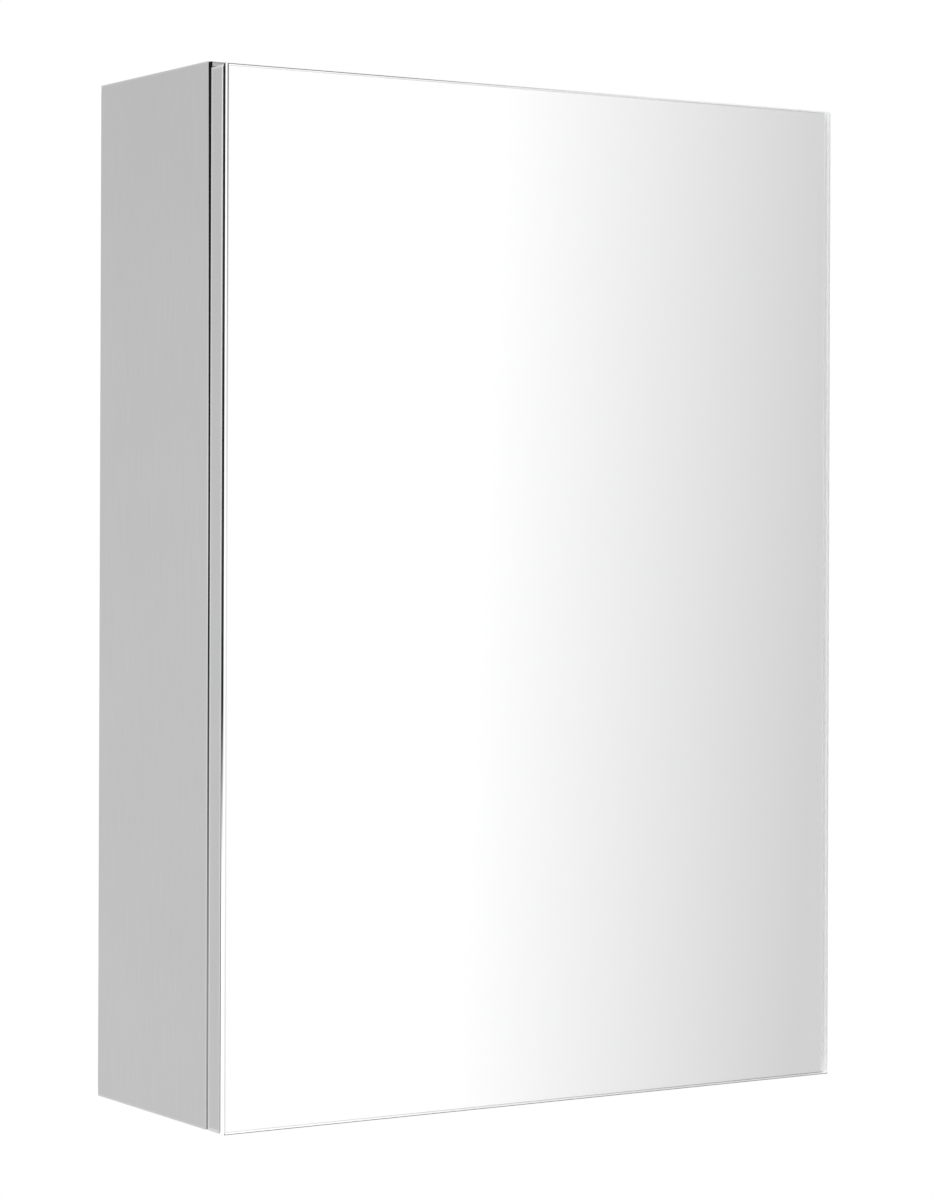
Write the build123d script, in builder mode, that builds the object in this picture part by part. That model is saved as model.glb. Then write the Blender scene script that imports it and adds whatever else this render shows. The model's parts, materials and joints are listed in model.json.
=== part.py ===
"""Wall-hung mirror cabinet: a spot-welded body of folded sheet steel with two shelves, and one
door hung on a long knuckle hinge. The door is a shallow folded tray that carries a frameless
mirror on foam tape.

X runs across the cabinet, +Z is up and the door faces -Y. The origin is the middle of the four
wall-screw holes, on the rear face of the back panel.
"""

from build123d import *
import os

# Overall sizes, millimetres
cabinet_width = 318.0
cabinet_height = 450.0
body_depth = 103.3
door_gap = 1.7
door_height = 447.5

# Sheet steel and its folds
sheet = 0.6
door_sheet = 0.6
inner_sheet = 0.5
fold_radius = 0.75
joint_gap = 0.2

# Returns and flanges of the body panels
front_return = 14.0
return_lip = 6.0
rear_flange = 14.0
tab_drop = 12.0
tab_margin = 10.0

# Back panel
back_inset = 0.5
back_corner_radius = 3.0

# Shelves
shelf_depth = 89.0
shelf_front_drop = 12.0
shelf_lip = 6.0
shelf_upstand = 12.0
lower_shelf_top = -75.0
upper_shelf_top = 75.0

# Wall fixing
wall_hole_radius = 3.25
wall_hole_spacing_x = 220.0
wall_hole_spacing_z = 380.0
rail_thickness = 1.5
rail_length = 280.0
rail_height = 30.0
rail_corner_cut = 4.0

# Door tray and inner panel
pan_depth = 10.0
pan_lip = 22.0
pan_corner_cut = 0.6
mitre_gap = 0.3
inner_panel_gap = 0.3
rivet_inset = 18.0
rivet_shank_radius = 1.6
rivet_hole_radius = 1.65
rivet_head_radius = 2.75
rivet_head_height = 0.9
rivet_tail_radius = 2.3
rivet_tail_length = 1.6
rivet_offset_z = 170.0

# Stiffening channels inside the door
channel_web = 24.0
channel_foot = 9.0
channel_length = 420.0
channel_offset = 55.0

# Mirror
glass_thickness = 4.0
glass_arris = 0.5
backing_thickness = 0.2
backing_inset = 0.4
tape_thickness = 0.8
tape_width = 15.0
tape_inset = 5.0

# Long hinge
pin_radius = 1.0
pin_clearance = 0.05
leaf_thickness = 0.6
leaf_width = 12.1
knuckle_pitch = 46.0
knuckle_count = 9
knuckle_end_gap = 0.25
hinge_outset = 1.5
leaf_setback = 0.25
curl_seam = 0.15
pin_head_radius = 1.5
pin_head_height = 0.8

# Magnetic catches and bumpers on the free side
catch_height = 150.0
catch_inset = 8.5
catch_collar_radius = 5.0
catch_collar_height = 0.9
catch_body_radius = 4.2
catch_body_length = 9.0
catch_hole_radius = 4.3
magnet_radius = 2.5
magnet_bore_radius = 2.6
magnet_length = 6.0
strike_width = 9.0
strike_height = 34.0
strike_thickness = 0.5
bumper_height = 1.4
bumper_radius = 4.0
bumper_crown_radius = 3.0
bumper_position = 196.0

# Foam seal on the three edges without a hinge
seal_width = 3.0
seal_thickness = 1.3
seal_inset = 0.3
seal_top_inset = 3.1

# Places worked out from the sizes above
half_width = cabinet_width / 2
half_height = cabinet_height / 2
inner_half = half_width - sheet
return_edge = half_width - front_return
door_back = body_depth + door_gap
pan_front = door_back + pan_depth
backing_back = pan_front + tape_thickness
glass_back = backing_back + backing_thickness
door_middle = door_height / 2 - half_height
inner_panel_back = door_back + door_sheet
hinge_x = half_width + hinge_outset
hinge_y = -(body_depth + door_gap / 2)
hinge_half_length = knuckle_pitch * knuckle_count / 2
knuckle_bore = pin_radius + pin_clearance
knuckle_radius = knuckle_bore + leaf_thickness
leaf_edge_x = hinge_x - knuckle_radius - leaf_setback
catch_x = catch_inset - half_width

# One rivet stands near each corner, in the side lips of the door
rivet_places = [
    (side * (half_width - rivet_inset), door_middle + end * rivet_offset_z)
    for side in (-1, 1)
    for end in (-1, 1)
]


def folded_section(plane, outer_line, thickness, side=Side.RIGHT):
    """Outline of a folded sheet: one face's line with rounded folds, thickened to one side."""
    with BuildSketch(plane) as section:
        with BuildLine():
            FilletPolyline(*outer_line, radius=fold_radius)
            offset(amount=thickness, side=side)
        make_face()
    return section.sketch


def save(builder, name):
    """Label a finished piece and write it to a file of its own."""
    builder.part.label = name
    export_step(builder.part, f"parts/{name}.step")


def side_panel():
    """Web, front return with its safety lip, and rear flange, for the left side."""
    with BuildPart() as panel:
        extrude(
            folded_section(
                Plane.XY.offset(-half_height),
                [
                    (-return_edge, return_lip - body_depth),
                    (-return_edge, -body_depth),
                    (-half_width, -body_depth),
                    (-half_width, -sheet),
                    (rear_flange - half_width, -sheet),
                ],
                sheet,
            ),
            amount=cabinet_height,
        )
        # The return and the rear flange stop short of the top and bottom panels
        for end in (-1, 1):
            with BuildSketch(Plane.XY.offset(end * half_height)):
                with Locations((-inner_half, -body_depth)):
                    Rectangle(front_return, body_depth, align=Align.MIN)
            extrude(amount=-end * (sheet + joint_gap / 2), mode=Mode.SUBTRACT)
    return panel.part


def deck(section_line, level, tab_start, tab_end):
    """Folded deck that spans the side panels, with a tab turned down along each side."""
    with BuildPart() as panel:
        extrude(folded_section(Plane.YZ, section_line, sheet), amount=inner_half, both=True)
        for hand, inside in ((-1, Side.LEFT), (1, Side.RIGHT)):
            with BuildSketch(Plane.XZ.offset(tab_start)):
                with Locations((hand * (inner_half - fold_radius / 2), level - sheet / 2)):
                    Rectangle(fold_radius, sheet)
            extrude(amount=tab_end - tab_start, mode=Mode.SUBTRACT)
            tab = folded_section(
                Plane.XZ.offset(tab_start),
                [
                    (hand * (inner_half - 2 * fold_radius), level),
                    (hand * inner_half, level),
                    (hand * inner_half, level - tab_drop),
                ],
                sheet,
                inside,
            )
            extrude(tab, amount=tab_end - tab_start)
    return panel.part


def end_panel():
    """Top panel: deck with a front return and lip, a rear flange and two side tabs."""
    flange_level = half_height - front_return
    with BuildPart() as panel:
        add(
            deck(
                [
                    (return_lip - body_depth, flange_level),
                    (-body_depth, flange_level),
                    (-body_depth, half_height),
                    (-sheet, half_height),
                    (-sheet, flange_level),
                ],
                half_height,
                tab_margin,
                body_depth - tab_margin,
            )
        )
        # The front return and the rear flange fit between those of the side panels
        for hand in (-1, 1):
            corner_x = hand * (return_edge - joint_gap + inner_half) / 2
            for corner_y in (-sheet, return_lip / 2 - body_depth):
                with Locations((corner_x, corner_y, flange_level)):
                    Box(
                        inner_half - return_edge + joint_gap,
                        return_lip + sheet,
                        2 * (front_return - sheet),
                        mode=Mode.SUBTRACT,
                    )
    return panel.part


def shelf(level):
    """Shelf: deck with a boxed front edge, a rear upstand and two side tabs."""
    with BuildPart() as panel:
        add(
            deck(
                [
                    (shelf_lip - shelf_depth, level - shelf_front_drop),
                    (-shelf_depth, level - shelf_front_drop),
                    (-shelf_depth, level),
                    (-2 * sheet, level),
                    (-2 * sheet, level + shelf_upstand),
                ],
                level,
                tab_margin,
                shelf_depth - tab_margin,
            )
        )
        # The rear corners clear the side panels' rear flanges
        for hand in (-1, 1):
            with Locations((hand * (return_edge - joint_gap + inner_half) / 2, 0, level)):
                Box(
                    inner_half - return_edge + joint_gap,
                    2 * (2 * sheet + joint_gap),
                    4 * shelf_upstand,
                    mode=Mode.SUBTRACT,
                )
    return panel.part


def wall_rail(end):
    """Flat doubler strip behind the back panel's upper or lower pair of wall holes."""
    height = end * wall_hole_spacing_z / 2
    with BuildPart() as rail:
        with BuildSketch(Plane.XZ.offset(sheet)) as outline:
            with Locations((0, height)):
                Rectangle(rail_length, rail_height)
            chamfer(outline.vertices(), length=rail_corner_cut)
            with Locations((wall_hole_spacing_x / 2, height), (-wall_hole_spacing_x / 2, height)):
                Circle(wall_hole_radius, mode=Mode.SUBTRACT)
        extrude(amount=rail_thickness)
    return rail.part


def hinge_leaf(facing, first_knuckle):
    """Long hinge leaf: a strip whose edge is curled round the pin, then notched into knuckles.

    Facing is 1 for the leaf on the body's side of the pin and -1 for the one on the door's.
    """
    inner_face = door_gap / 2 - leaf_thickness
    leaf_middle = facing * (inner_face + leaf_thickness / 2)
    seam_middle = facing * (inner_face - curl_seam / 2)
    with BuildPart() as leaf:
        with BuildSketch(Plane.XY.offset(-hinge_half_length)):
            with Locations((hinge_x, hinge_y)):
                Circle(knuckle_radius)
            with Locations((leaf_edge_x - leaf_width, hinge_y + leaf_middle)):
                Rectangle(
                    leaf_width + hinge_x - knuckle_bore - leaf_edge_x,
                    leaf_thickness,
                    align=(Align.MIN, Align.CENTER),
                )
            with Locations((hinge_x, hinge_y)):
                Circle(knuckle_bore, mode=Mode.SUBTRACT)
            # The curled end stops just short of the strip
            with Locations((hinge_x - knuckle_bore, hinge_y + seam_middle)):
                Rectangle(3 * leaf_thickness, curl_seam, mode=Mode.SUBTRACT)
        extrude(amount=2 * hinge_half_length)
        # Notches where the other leaf's knuckles go
        for count in range(1 - first_knuckle, knuckle_count, 2):
            foot = count * knuckle_pitch - hinge_half_length - knuckle_end_gap / 2
            with BuildSketch(Plane.XY.offset(foot)):
                with Locations((leaf_edge_x, hinge_y)):
                    Rectangle(
                        3 * knuckle_radius, 3 * knuckle_radius, align=(Align.MIN, Align.CENTER)
                    )
            extrude(amount=knuckle_pitch + knuckle_end_gap, mode=Mode.SUBTRACT)
    return leaf.part


def turned(profile_lines, places):
    """A turned piece, or a set of them: half outline in (radius, depth) spun about each place.

    Depth is measured from the wall plane towards the door's front, as positive millimetres.
    """
    with BuildPart() as single:
        with BuildSketch(Plane.XY):
            with BuildLine():
                Polyline(*[(radius, -depth) for radius, depth in profile_lines], close=True)
            make_face()
        revolve(axis=Axis.Y)
    with BuildPart() as pieces:
        with Locations(*[(x, 0, z) for x, z in places]):
            add(single.part)
    return pieces.part


os.makedirs("parts", exist_ok=True)

catch_places = [(catch_x, catch_height), (catch_x, -catch_height)]
bumper_places = [(catch_x, bumper_position), (catch_x, -bumper_position)]
wall_hole_places = [
    (column * wall_hole_spacing_x / 2, row * wall_hole_spacing_z / 2)
    for column in (-1, 1)
    for row in (-1, 1)
]

# Left side panel, with two round holes in its front return for the catches
with BuildPart() as left_side_panel:
    add(side_panel())
    with BuildSketch(Plane.XZ.offset(body_depth)):
        with Locations(*catch_places):
            Circle(catch_hole_radius)
    extrude(amount=-sheet, mode=Mode.SUBTRACT)
save(left_side_panel, "left_side_panel")

# Right side panel, which carries the hinge
with BuildPart() as right_side_panel:
    mirror(side_panel(), about=Plane.YZ)
save(right_side_panel, "right_side_panel")

# Top and bottom panels
with BuildPart() as top_panel:
    add(end_panel())
save(top_panel, "top_panel")

with BuildPart() as bottom_panel:
    mirror(end_panel(), about=Plane.XY)
save(bottom_panel, "bottom_panel")

# Back panel, lapped over the rear flanges
with BuildPart() as back_panel:
    with BuildSketch(Plane.XZ):
        RectangleRounded(
            cabinet_width - 2 * back_inset,
            cabinet_height - 2 * back_inset,
            back_corner_radius,
        )
        with Locations(*wall_hole_places):
            Circle(wall_hole_radius, mode=Mode.SUBTRACT)
    extrude(amount=sheet)
save(back_panel, "back_panel")

# Doubler strips that spread the load of the wall screws
with BuildPart() as upper_wall_rail:
    add(wall_rail(1))
save(upper_wall_rail, "upper_wall_rail")

with BuildPart() as lower_wall_rail:
    add(wall_rail(-1))
save(lower_wall_rail, "lower_wall_rail")

# Two shelves divide the inside into three equal compartments
with BuildPart() as upper_shelf:
    add(shelf(upper_shelf_top))
save(upper_shelf, "upper_shelf")

with BuildPart() as lower_shelf:
    add(shelf(lower_shelf_top))
save(lower_shelf, "lower_shelf")

# Catch bodies: a thin collar on the front return, a plug behind it and a blind magnet bore
with BuildPart() as magnet_housings:
    collar_front = body_depth + catch_collar_height
    body_back = body_depth - catch_body_length
    bore_end = collar_front - magnet_length - joint_gap
    add(
        turned(
            [
                (magnet_bore_radius, collar_front),
                (catch_collar_radius - 2 * joint_gap, collar_front),
                (catch_collar_radius, body_depth),
                (catch_body_radius, body_depth),
                (catch_body_radius - joint_gap, body_back),
                (0, body_back),
                (0, bore_end),
                (magnet_bore_radius, bore_end),
            ],
            catch_places,
        )
    )
save(magnet_housings, "magnet_housings")

# Magnets, which stand on the floor of the bores and end just under the collars
with BuildPart() as catch_magnets:
    magnet_back = bore_end
    magnet_front = bore_end + magnet_length
    add(
        turned(
            [
                (0, magnet_back),
                (magnet_radius, magnet_back),
                (magnet_radius, magnet_front),
                (0, magnet_front),
            ],
            catch_places,
        )
    )
save(catch_magnets, "catch_magnets")

# Rubber buttons with a sloped rim, which quieten the door
with BuildPart() as door_bumpers:
    bumper_crown = body_depth + bumper_height
    add(
        turned(
            [
                (0, body_depth),
                (bumper_radius, body_depth),
                (bumper_crown_radius, bumper_crown),
                (0, bumper_crown),
            ],
            bumper_places,
        )
    )
save(door_bumpers, "door_bumpers")

# Foam seal stuck to the front returns: one upright strip, with one across at each end
with BuildPart() as door_seal:
    seal_left = seal_inset - half_width
    seal_foot = seal_inset - half_height
    seal_head = half_height - seal_top_inset
    with BuildSketch(Plane.XZ.offset(body_depth)):
        with Locations((seal_left, seal_foot)):
            Rectangle(seal_width, seal_head - seal_foot, align=Align.MIN)
        for strip_foot in (seal_foot, seal_head - seal_width):
            with Locations((seal_left + seal_width, strip_foot)):
                Rectangle(cabinet_width - 2 * seal_inset - seal_width, seal_width, align=Align.MIN)
    extrude(amount=seal_thickness)
save(door_seal, "door_seal")

# Long hinge: the fixed leaf has the odd knuckles and both ends, the moving leaf the even ones
with BuildPart() as hinge_fixed_leaf:
    add(hinge_leaf(1, 0))
save(hinge_fixed_leaf, "hinge_fixed_leaf")

with BuildPart() as hinge_moving_leaf:
    add(hinge_leaf(-1, 1))
save(hinge_moving_leaf, "hinge_moving_leaf")

# Hinge pin, headed over at both ends against the end knuckles
with BuildPart() as hinge_pin:
    with BuildSketch(Plane.XY.offset(-hinge_half_length)):
        with Locations((hinge_x, hinge_y)):
            Circle(pin_radius)
    extrude(amount=2 * hinge_half_length)
    for end in (-1, 1):
        with BuildSketch(Plane.XY.offset(end * hinge_half_length)):
            with Locations((hinge_x, hinge_y)):
                Circle(pin_head_radius)
        extrude(amount=end * pin_head_height)
save(hinge_pin, "hinge_pin")

# Door tray: front sheet, four flanges and four mitred lips round an open back
with BuildPart() as door_pan:
    with BuildSketch(Plane.XZ.offset(door_back)):
        with Locations((0, door_middle)):
            Rectangle(cabinet_width, door_height)
    extrude(amount=pan_depth)
    chamfer(door_pan.edges().filter_by(Axis.Y), length=pan_corner_cut)
    fillet(door_pan.faces().sort_by(Axis.Y)[0].edges(), radius=fold_radius)
    fillet(door_pan.faces().sort_by(Axis.Y)[-1].edges(), radius=fold_radius)
    # The hollow between the front sheet and the lips
    with BuildSketch(Plane.XZ.offset(inner_panel_back)) as hollow:
        with Locations((0, door_middle)):
            Rectangle(cabinet_width - 2 * door_sheet, door_height - 2 * door_sheet)
        chamfer(hollow.vertices(), length=pan_corner_cut)
    extrude(amount=pan_depth - 2 * door_sheet, mode=Mode.SUBTRACT)
    # The open back inside the lips, with the rivet holes round it
    with BuildSketch(Plane.XZ.offset(door_back)):
        with Locations((0, door_middle)):
            Rectangle(cabinet_width - 2 * pan_lip, door_height - 2 * pan_lip)
        with Locations(*rivet_places):
            Circle(rivet_hole_radius)
        # Each corner is mitred, with a fine gap left between the two lips
        for side in (-1, 1):
            for end in (-1, 1):
                corner_x = side * (half_width - pan_lip / 2)
                corner_z = door_middle + end * (door_height / 2 - pan_lip / 2)
                with Locations(Location((corner_x, corner_z), side * end * 45)):
                    Rectangle((pan_lip - 2 * fold_radius) * 2**0.5, mitre_gap)
    extrude(amount=door_sheet, mode=Mode.SUBTRACT)
save(door_pan, "door_pan")

# Inner panel, riveted up against the lips from inside the tray
with BuildPart() as door_back_panel:
    with BuildSketch(Plane.XZ.offset(inner_panel_back)) as inner_outline:
        with Locations((0, door_middle)):
            Rectangle(
                cabinet_width - 2 * (door_sheet + inner_panel_gap),
                door_height - 2 * (door_sheet + inner_panel_gap),
            )
        chamfer(inner_outline.vertices(), length=2 * pan_corner_cut)
        with Locations(*rivet_places):
            Circle(rivet_hole_radius, mode=Mode.SUBTRACT)
    extrude(amount=inner_sheet)
save(door_back_panel, "door_back_panel")

# Blind rivets: low head outside, shank, and the tail swelled out in the hollow
with BuildPart() as back_panel_rivets:
    tail_start = inner_panel_back + inner_sheet
    head_top = door_back - rivet_head_height
    add(
        turned(
            [
                (0, head_top),
                (rivet_shank_radius, head_top),
                (rivet_head_radius, door_back),
                (rivet_shank_radius, door_back),
                (rivet_shank_radius, tail_start),
                (rivet_tail_radius, tail_start + rivet_tail_length),
                (0, tail_start + rivet_tail_length),
            ],
            rivet_places,
        )
    )
save(back_panel_rivets, "back_panel_rivets")

# Two hat channels stand between the tray's front sheet and the inner panel
with BuildPart() as door_stiffeners:
    foot_line = -(inner_panel_back + inner_sheet)
    web_line = -(pan_front - door_sheet - inner_sheet)
    for side in (-1, 1):
        middle = side * channel_offset
        channel = folded_section(
            Plane.XY.offset(door_middle - channel_length / 2),
            [
                (middle - channel_web / 2 - channel_foot, foot_line),
                (middle - channel_web / 2, foot_line),
                (middle - channel_web / 2, web_line),
                (middle + channel_web / 2, web_line),
                (middle + channel_web / 2, foot_line),
                (middle + channel_web / 2 + channel_foot, foot_line),
            ],
            inner_sheet,
        )
        extrude(channel, amount=channel_length)
save(door_stiffeners, "door_stiffeners")

# Foam tape: four strips set in from the mirror's edges and two upright ones between them
with BuildPart() as mirror_tape:
    strip_x = half_width - tape_inset - tape_width / 2
    strip_z = door_height / 2 - tape_inset - tape_width / 2
    upright_length = door_height - 2 * tape_inset
    with BuildSketch(Plane.XZ.offset(pan_front)):
        with Locations((-strip_x, door_middle), (strip_x, door_middle)):
            Rectangle(tape_width, upright_length)
        with Locations((0, door_middle - strip_z), (0, door_middle + strip_z)):
            Rectangle(2 * strip_x - tape_width - 2, tape_width)
        with Locations((-strip_x / 3, door_middle), (strip_x / 3, door_middle)):
            Rectangle(tape_width, upright_length - 2 * tape_width - 2)
    extrude(amount=tape_thickness)
save(mirror_tape, "mirror_tape")

# Silvering with its protective film, just short of the glass edge
with BuildPart() as mirror_backing:
    with BuildSketch(Plane.XZ.offset(backing_back)):
        with Locations((0, door_middle)):
            Rectangle(cabinet_width - 2 * backing_inset, door_height - 2 * backing_inset)
    extrude(amount=backing_thickness)
save(mirror_backing, "mirror_backing")

# Mirror glass with an arris ground on every edge
with BuildPart() as mirror_glass:
    with BuildSketch(Plane.XZ.offset(glass_back)):
        with Locations((0, door_middle)):
            Rectangle(cabinet_width, door_height)
    extrude(amount=glass_thickness)
    chamfer(mirror_glass.edges(), length=glass_arris)
save(mirror_glass, "mirror_glass")

# Steel plates on the door's lip, opposite the magnets
with BuildPart() as strike_plates:
    with BuildSketch(Plane.XZ.offset(door_back - strike_thickness)):
        with Locations(*catch_places):
            Rectangle(strike_width, strike_height)
    extrude(amount=strike_thickness)
save(strike_plates, "strike_plates")
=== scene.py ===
# %% [markdown]
# # A steel mirror cabinet, dressed for its portrait
#
# The imported model is a wall cabinet of folded sheet steel with one mirror door on a long hinge.
# It arrives with true shapes, but every surface is one flat colour. This lesson gives each sheet,
# pin, catch and pane the finish of the real thing, adds the small parts that a press, a spot
# welder and a rivet gun leave behind, and sets up the studio in which the portrait is taken.
#
# The frame is loaded first, into an empty file, and its box is kept.

import json
import math

import bmesh
import bpy
from mathutils import Matrix, Vector, noise

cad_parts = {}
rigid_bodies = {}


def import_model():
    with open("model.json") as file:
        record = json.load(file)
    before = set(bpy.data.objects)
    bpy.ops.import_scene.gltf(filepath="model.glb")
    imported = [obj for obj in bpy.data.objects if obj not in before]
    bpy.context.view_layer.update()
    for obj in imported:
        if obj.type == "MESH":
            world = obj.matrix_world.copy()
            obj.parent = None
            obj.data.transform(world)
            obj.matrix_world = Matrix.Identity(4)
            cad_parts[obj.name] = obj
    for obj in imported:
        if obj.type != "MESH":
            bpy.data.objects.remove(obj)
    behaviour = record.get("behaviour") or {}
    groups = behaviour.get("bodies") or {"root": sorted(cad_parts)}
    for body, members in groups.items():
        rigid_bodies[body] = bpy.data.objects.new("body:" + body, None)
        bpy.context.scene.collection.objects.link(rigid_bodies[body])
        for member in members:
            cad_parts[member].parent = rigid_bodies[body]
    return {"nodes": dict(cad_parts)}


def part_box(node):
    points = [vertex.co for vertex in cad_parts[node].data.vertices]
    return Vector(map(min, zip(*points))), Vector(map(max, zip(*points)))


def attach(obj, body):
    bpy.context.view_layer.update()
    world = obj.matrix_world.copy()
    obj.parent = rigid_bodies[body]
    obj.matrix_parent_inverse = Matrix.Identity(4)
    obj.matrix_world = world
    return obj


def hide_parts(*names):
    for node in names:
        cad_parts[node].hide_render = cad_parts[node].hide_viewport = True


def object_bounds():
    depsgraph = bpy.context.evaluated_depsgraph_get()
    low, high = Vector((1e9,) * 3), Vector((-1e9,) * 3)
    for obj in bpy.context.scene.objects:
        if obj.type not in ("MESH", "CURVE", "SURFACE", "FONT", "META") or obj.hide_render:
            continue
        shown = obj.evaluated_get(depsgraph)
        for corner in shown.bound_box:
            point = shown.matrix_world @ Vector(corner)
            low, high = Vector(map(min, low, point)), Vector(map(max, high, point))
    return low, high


for leftover in list(bpy.data.objects):
    bpy.data.objects.remove(leftover)

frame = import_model()
nodes = frame["nodes"]
scene = bpy.context.scene
cad_low, cad_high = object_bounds()
MM = 0.001
print("loaded", len(nodes), "nodes, box in mm:", [round(s / MM, 1) for s in cad_high - cad_low])

# %% [markdown]
# ## The camera
#
# A product photographer stands well back from a cabinet and uses a long lens, so that upright
# edges stay nearly parallel. A camera could be aimed by hand, but here its place was worked out
# from eight corners of the cabinet in the photograph. It looks level, 32 degrees round from the
# mirror's face, and the small downward shift does what lowering a view camera's front does: it
# frames the cabinet without tilting the lens.

# %% Place the camera
camera_place = Vector((-0.8515, -1.4116, 0.0327))
camera_yaw = math.radians(32.125)
camera_roll = math.radians(0.194)
lens_mm = 105.195
sensor_mm = 36
frame_shift = -0.06789


def in_scene(name, data):
    """An object that carries the data, linked into the scene."""
    made = bpy.data.objects.new(name, data)
    scene.collection.objects.link(made)
    return made


def level_camera(place, yaw, roll, lens, shift):
    """A camera that looks level along its yaw angle, measured from +Y towards +X."""
    made = in_scene("portrait_camera", bpy.data.cameras.new("portrait_camera"))
    ahead = Vector((math.sin(yaw), math.cos(yaw), 0))
    right = Vector((math.cos(yaw), -math.sin(yaw), 0))
    up = Vector((0, 0, 1))
    tilted_right = right * math.cos(roll) + up * math.sin(roll)
    tilted_up = up * math.cos(roll) - right * math.sin(roll)
    turn = Matrix((tilted_right, tilted_up, -ahead)).transposed()
    made.matrix_world = Matrix.Translation(place) @ turn.to_4x4()
    made.data.lens = lens
    made.data.sensor_width = sensor_mm
    made.data.shift_y = shift
    return made


scene.camera = level_camera(camera_place, camera_yaw, camera_roll, lens_mm, frame_shift)
scene.view_settings.view_transform = "Standard"
print("camera", round((camera_place - (cad_low + cad_high) / 2).length, 3), "m from the middle")

# %% [markdown]
# ## A short way to write node trees
#
# Every finish below is a tree of nodes. Written out in full, each node takes four or five lines
# and the idea is lost among them, so one helper adds a node, sets its options and fills its
# sockets, either with a number or with the output of another node. Three more give names to what
# is done most: arithmetic, mapping one range to another, and mixing two colours.


# %% Node helpers
def add_node(tree, kind, sockets=None, **options):
    """One new node; sockets maps a name or number to a value or to another node's output."""
    made = tree.nodes.new(kind)
    for option, value in options.items():
        setattr(made, option, value)
    for name, value in (sockets or {}).items():
        if isinstance(value, bpy.types.NodeSocket):
            tree.links.new(value, made.inputs[name])
        else:
            made.inputs[name].default_value = value
    return made


def calculate(tree, operation, first, second=0.0):
    """The result of one arithmetic step."""
    return add_node(tree, "ShaderNodeMath", {0: first, 1: second}, operation=operation).outputs[0]


def remap(tree, value, from_low, from_high, to_low, to_high, smooth=False):
    """The value carried from one range to another and held at its ends."""
    sockets = {
        "Value": value,
        "From Min": from_low,
        "From Max": from_high,
        "To Min": to_low,
        "To Max": to_high,
    }
    kind = "SMOOTHSTEP" if smooth else "LINEAR"
    return add_node(tree, "ShaderNodeMapRange", sockets, interpolation_type=kind).outputs[0]


def mix_colours(tree, factor, first, second):
    """First colour where the factor is 0, second where it is 1."""
    sockets = {0: factor, 6: first, 7: second}
    return add_node(tree, "ShaderNodeMix", sockets, data_type="RGBA").outputs[2]


# %% [markdown]
# ## What stands round the cabinet
#
# A mirror shows the room, so the room has to be designed as well. In the photograph the mirror is
# pure white on its left and fades evenly to light grey on its right: the studio is a white tent
# that ends a little to the right of the camera's reflection, and falls off from there. A grey
# card could be stood in the scene, but its edges would show from other angles. The world is
# painted by direction instead: the angle round the upright axis decides how bright the tent is.
#
# Rays that come straight from the camera see plain white. Rays that have met metal or glass see
# the tent. Rays that have met a matt surface get a little less than white, and the lamps give
# the rest.

# %% Paint the tent
tent_white = 1.06
fade_start = math.radians(32.3)
fade_slant = 0.047
fade_width = math.radians(5.6)
fade_depth = 0.385
deep_width = math.radians(14)
deep_depth = 0.10
return_angles = (math.radians(45), math.radians(85))
matt_light = 0.80

world = bpy.data.worlds.new("studio_tent")
world.use_nodes = True
scene.world = world
tent = world.node_tree
tent.nodes.clear()

direction = add_node(tent, "ShaderNodeTexCoord").outputs["Generated"]
axes = add_node(tent, "ShaderNodeSeparateXYZ", {0: direction}).outputs
heading = calculate(tent, "ARCTAN2", axes[0], calculate(tent, "MULTIPLY", axes[1], -1.0))
height_angle = calculate(tent, "ARCSINE", axes[2])
slanted = calculate(tent, "MULTIPLY", height_angle, fade_slant)
past_edge = calculate(tent, "SUBTRACT", heading, calculate(tent, "ADD", slanted, fade_start))

# %% [markdown]
# Three falls make the tent's brightness along that angle: the even fade that the mirror shows, a
# slower one behind it, and a return to white far round to the right. High up behind the cabinet
# the tent is a touch darker too, which is why the side panel is darker at its top.

# %% Join the falls
rear_dimming = 0.40
rear_depths = (-0.2, 0.6)
dimmed_height = math.radians(28)

first_fall = remap(tent, past_edge, 0.0, fade_width, 0.0, fade_depth)
second_fall = remap(tent, past_edge, fade_width, fade_width + deep_width, 0.0, deep_depth, True)
return_rise = remap(tent, past_edge, *return_angles, 1.0, 0.0, True)
falls = calculate(tent, "ADD", first_fall, second_fall)
dip = calculate(tent, "MULTIPLY", falls, return_rise)
behind = remap(tent, axes[1], *rear_depths, 0.0, rear_dimming, True)
high_up = remap(tent, height_angle, 0.0, dimmed_height, 0.0, 1.0)
rear_dip = calculate(tent, "MULTIPLY", behind, high_up)
brightness = calculate(tent, "SUBTRACT", tent_white, calculate(tent, "ADD", dip, rear_dip))

light_path = add_node(tent, "ShaderNodeLightPath").outputs
mirrored = calculate(
    tent, "MAXIMUM", light_path["Is Glossy Ray"], light_path["Is Transmission Ray"]
)
matt_or_white = remap(tent, light_path["Is Camera Ray"], 0.0, 1.0, matt_light, 1.0)
strength = add_node(
    tent, "ShaderNodeMix", {0: mirrored, 2: matt_or_white, 3: brightness}, data_type="FLOAT"
).outputs[0]
background = add_node(
    tent, "ShaderNodeBackground", {"Color": (1, 1, 1, 1), "Strength": strength}
)
add_node(tent, "ShaderNodeOutputWorld", {"Surface": background.outputs[0]})
print("tent painted with", len(tent.nodes), "nodes")

# %% [markdown]
# ## The floor
#
# The cabinet hangs at the height of a face, so the floor is well below it and out of the
# portrait, but it shows from higher up and in the mirror. A square sheet would do for the portrait
# alone, but its corners would show from elsewhere. A wide disc of rings has none.

# %% Lay the floor
floor_level = -1.2
floor_radius = 4.4
floor_rings = 12
floor_sides = 96


def mesh_from(name, mesh):
    """A mesh that keeps what was built, while the working copy is freed."""
    data = bpy.data.meshes.new(name)
    mesh.to_mesh(data)
    mesh.free()
    return data


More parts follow.
